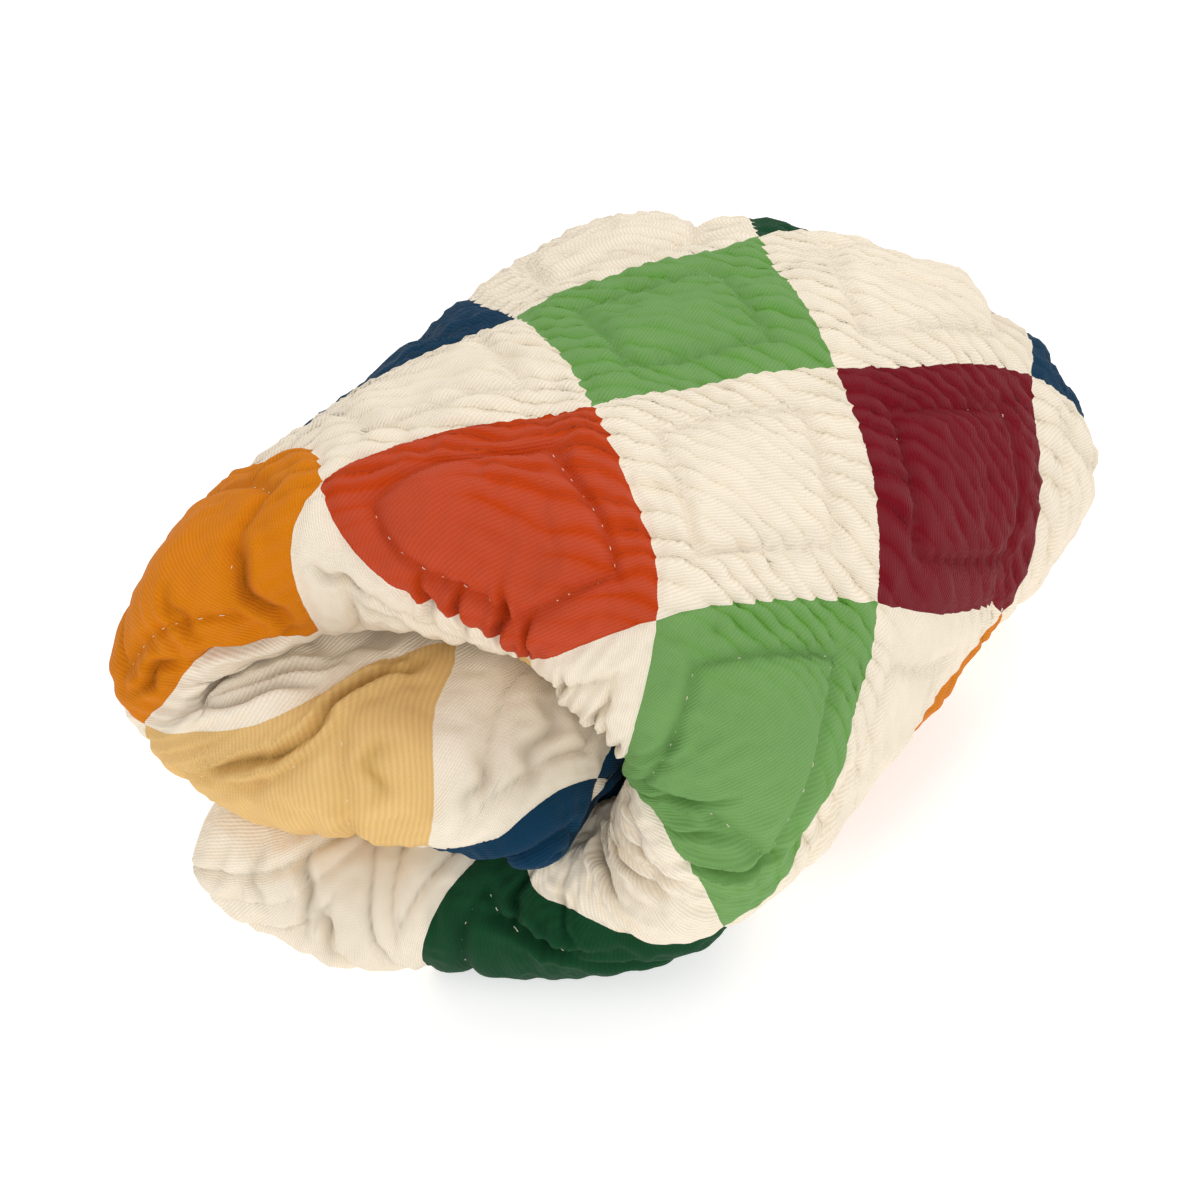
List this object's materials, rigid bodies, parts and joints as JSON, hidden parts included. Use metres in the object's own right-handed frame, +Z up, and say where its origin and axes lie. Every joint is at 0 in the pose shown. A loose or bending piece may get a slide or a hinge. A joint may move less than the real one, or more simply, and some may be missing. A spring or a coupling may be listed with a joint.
{
  "type": "rolled patchwork quilt",
  "caption": "Puffy hand-quilted patchwork quilt, doubled and loosely rolled up, with rounded lips, lying on its flattened under layer.",
  "frame": {"origin": "middle of the quilt's box, on the floor that it lies on", "axes": "+Z up; +Y along the roll, from the near lips to the far end; +X from the free end towards the right-hand bend"},
  "size_m": [0.3942, 0.481, 0.2692],
  "materials": {
    "cotton_jersey": "matt knitted cotton jersey, hand quilted"
  },
  "bodies": {
    "root": {"quilt": "cotton_jersey"}
  },
  "joints": []
}
